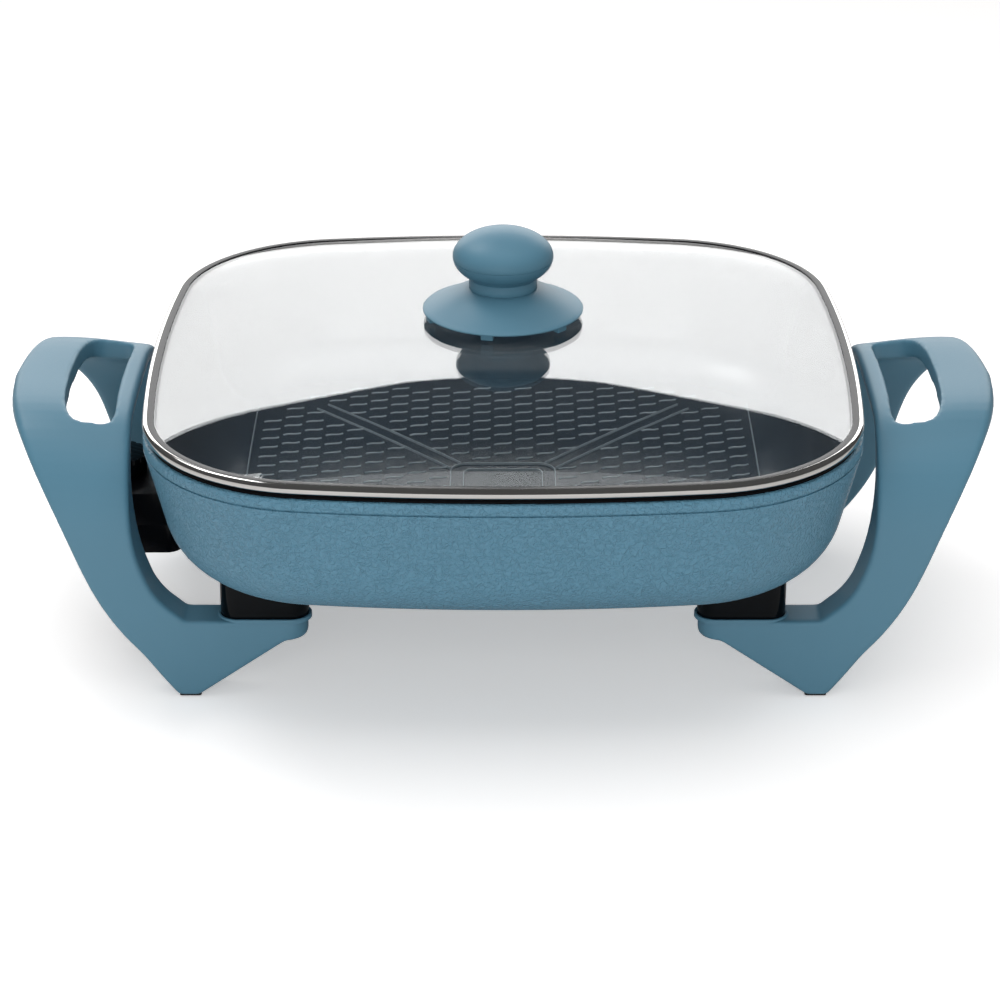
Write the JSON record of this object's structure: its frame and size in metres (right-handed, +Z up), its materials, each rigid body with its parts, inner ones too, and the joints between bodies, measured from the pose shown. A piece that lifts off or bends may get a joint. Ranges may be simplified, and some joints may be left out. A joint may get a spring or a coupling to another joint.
{
  "type": "electric skillet",
  "caption": "Square electric skillet with saddle handles, lift-off domed glass lid with ball knob, cast heating element and plug-in temperature control.",
  "frame": {"origin": "on the ground below the middle of the pan", "axes": "+Z up, -Y towards the front, the heat control plugs in at -X"},
  "size_m": [0.436, 0.312, 0.1887],
  "materials": {
    "pan_coating": "low-relief textured blue enamel outside, dark non-stick inside",
    "element_sheath": "dull heat-darkened",
    "terminal_metal": "bright",
    "ceramic": "matt moulded",
    "black_plastic": "satin moulded",
    "gloss_black": "gloss moulded",
    "blue_plastic": "fine matt grain",
    "white_plastic": "matt moulded",
    "rubber": "matt",
    "screw_steel": "zinc plated",
    "stainless": "polished",
    "glass": "clear tempered",
    "red_lens": "clear red"
  },
  "bodies": {
    "skillet": {"skillet_pan": "pan_coating", "heating_element": "element_sheath", "terminal_pins": "terminal_metal", "pin_insulators": "ceramic", "plug_guard": "black_plastic", "handle_left": "blue_plastic", "handle_right": "blue_plastic", "foot_pad_front_left": "rubber", "foot_pad_rear_left": "rubber", "foot_pad_front_right": "rubber", "foot_pad_rear_right": "rubber", "standoff_front_left": "gloss_black", "standoff_rear_left": "gloss_black", "standoff_front_right": "gloss_black", "standoff_rear_right": "gloss_black", "handle_screws": "screw_steel", "handle_washers": "screw_steel"},
    "lid": {"lid_glass": "glass", "lid_rim_band": "stainless", "knob_gasket": "rubber", "knob_skirt": "blue_plastic", "knob_cap": "blue_plastic", "knob_washer": "rubber", "knob_screw": "screw_steel"},
    "controller": {"controller_bottom_shell": "black_plastic", "controller_top_shell": "black_plastic", "controller_screws": "screw_steel", "socket_block": "ceramic", "socket_sleeves": "terminal_metal", "probe_rod": "stainless", "thermostat_base": "ceramic", "contact_blades": "terminal_metal", "indicator_lens": "red_lens", "indicator_lamp": "red_lens", "cord_inlet_bushing": "rubber"},
    "dial": {"dial_shaft": "white_plastic", "temperature_dial": "gloss_black"}
  },
  "joints": [
    {"name": "lid_lift", "type": "slide", "parent": "skillet", "child": "lid", "axis": [0, 0, 1], "range_m": [0, 0.12]},
    {"name": "control_unplug", "type": "slide", "parent": "skillet", "child": "controller", "axis": [-1, 0, 0], "range_m": [0, 0.08]},
    {"name": "dial_turn", "type": "hinge", "parent": "controller", "child": "dial", "pos_m": [-0.174, 0, 0.078], "axis": [0, 0, 1], "range_deg": [0, 280]}
  ]
}
